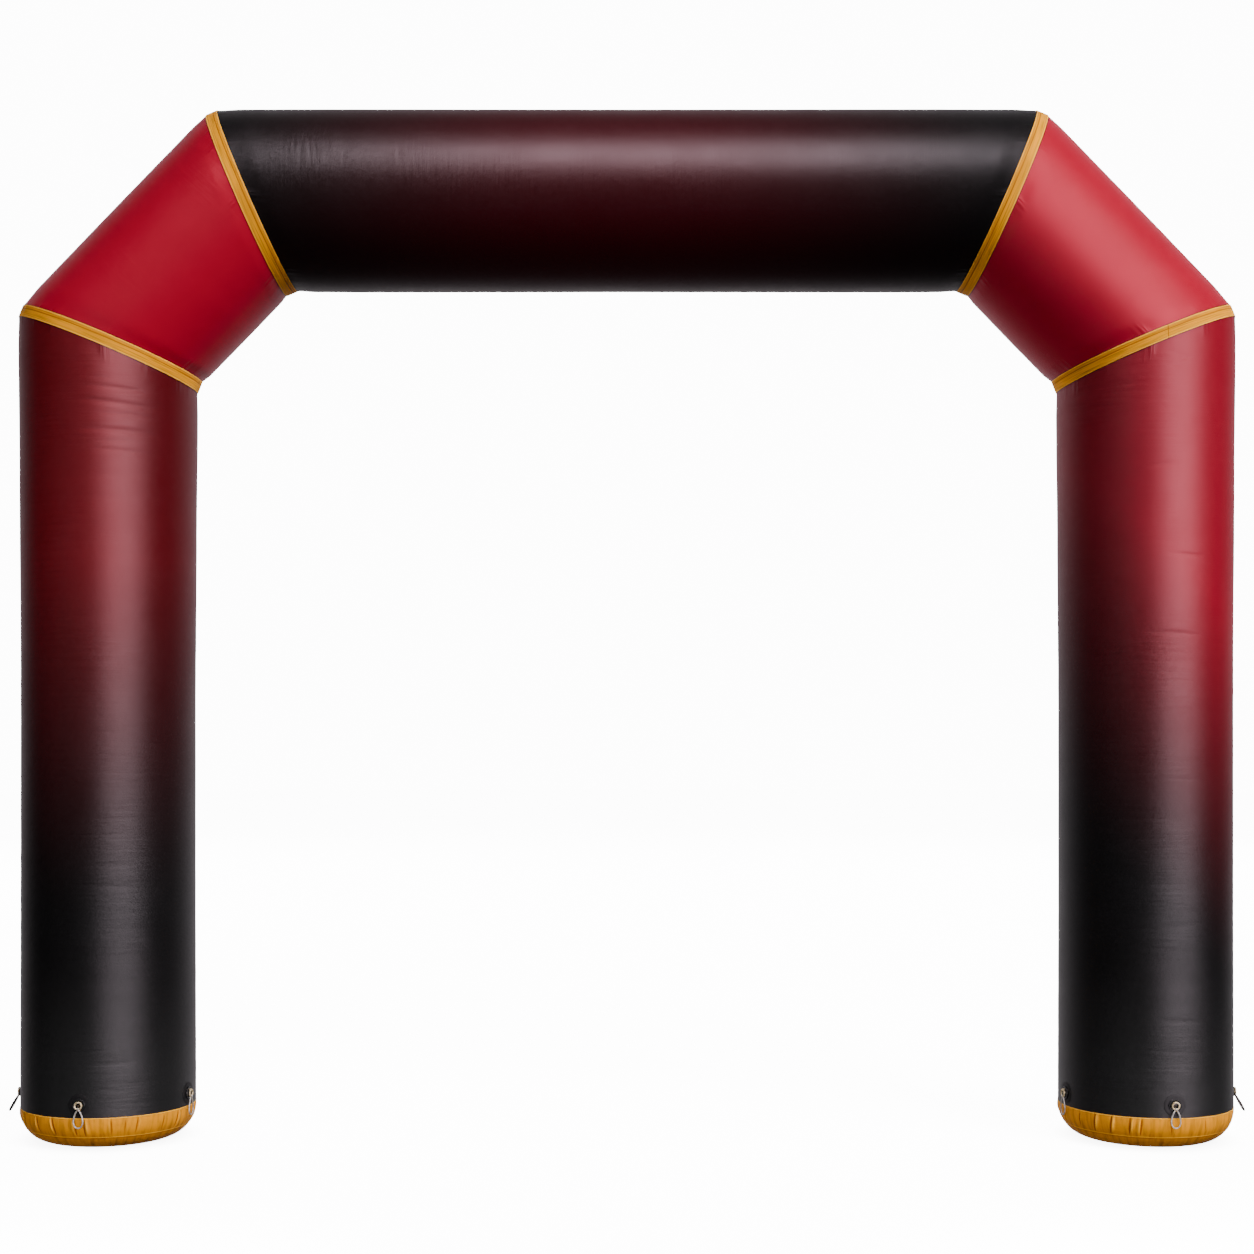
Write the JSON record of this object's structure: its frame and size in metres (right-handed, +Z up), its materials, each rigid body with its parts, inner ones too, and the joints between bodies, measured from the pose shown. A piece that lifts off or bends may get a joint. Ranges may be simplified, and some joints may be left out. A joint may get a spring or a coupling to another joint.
{
  "type": "inflatable arch",
  "caption": "Inflatable event arch: a round air tube bent over a gateway with slanted shoulders, taped mitre seams, gathered feet and tie-down rings near the ground.",
  "frame": {"origin": "on the ground midway between the two feet", "axes": "+X to the right leg along the span, +Y to the back, +Z up"},
  "size_m": [5.0984, 0.7406, 4.2308],
  "materials": {
    "leg_print": "satin coated cloth, printed from crimson at the knee to black at the foot",
    "shoulder_red": "satin coated cloth, crimson",
    "beam_print": "satin coated cloth, black with a maroon glow in the middle",
    "yellow_cloth": "satin coated cloth, golden yellow",
    "yellow_tape": "stitched webbing tape, golden yellow",
    "black_patch": "welded reinforcing patch, matt black",
    "black_plate": "moulded, low gloss",
    "brass": "pale polished brass",
    "steel": "bright wire"
  },
  "bodies": {
    "root": {"beam": "beam_print", "left_leg": "leg_print", "left_shoulder": "shoulder_red", "left_knee_tape": "yellow_tape", "left_beam_tape": "yellow_tape", "left_foot_wall": "yellow_cloth", "left_sole": "yellow_cloth", "left_outer_patch": "black_patch", "left_outer_plate": "black_plate", "left_outer_rivet": "brass", "left_outer_ring": "brass", "left_outer_link": "steel", "left_front_patch": "black_patch", "left_front_plate": "black_plate", "left_front_rivet": "brass", "left_front_ring": "brass", "left_front_link": "steel", "left_inner_patch": "black_patch", "left_inner_plate": "black_plate", "left_inner_rivet": "brass", "left_inner_ring": "brass", "left_inner_link": "steel", "left_back_patch": "black_patch", "left_back_plate": "black_plate", "left_back_rivet": "brass", "left_back_ring": "brass", "left_back_link": "steel", "right_leg": "leg_print", "right_shoulder": "shoulder_red", "right_knee_tape": "yellow_tape", "right_beam_tape": "yellow_tape", "right_foot_wall": "yellow_cloth", "right_sole": "yellow_cloth", "right_outer_patch": "black_patch", "right_outer_plate": "black_plate", "right_outer_rivet": "brass", "right_outer_ring": "brass", "right_outer_link": "steel", "right_front_patch": "black_patch", "right_front_plate": "black_plate", "right_front_rivet": "brass", "right_front_ring": "brass", "right_front_link": "steel", "right_inner_patch": "black_patch", "right_inner_plate": "black_plate", "right_inner_rivet": "brass", "right_inner_ring": "brass", "right_inner_link": "steel", "right_back_patch": "black_patch", "right_back_plate": "black_plate", "right_back_rivet": "brass", "right_back_ring": "brass", "right_back_link": "steel"}
  },
  "joints": []
}
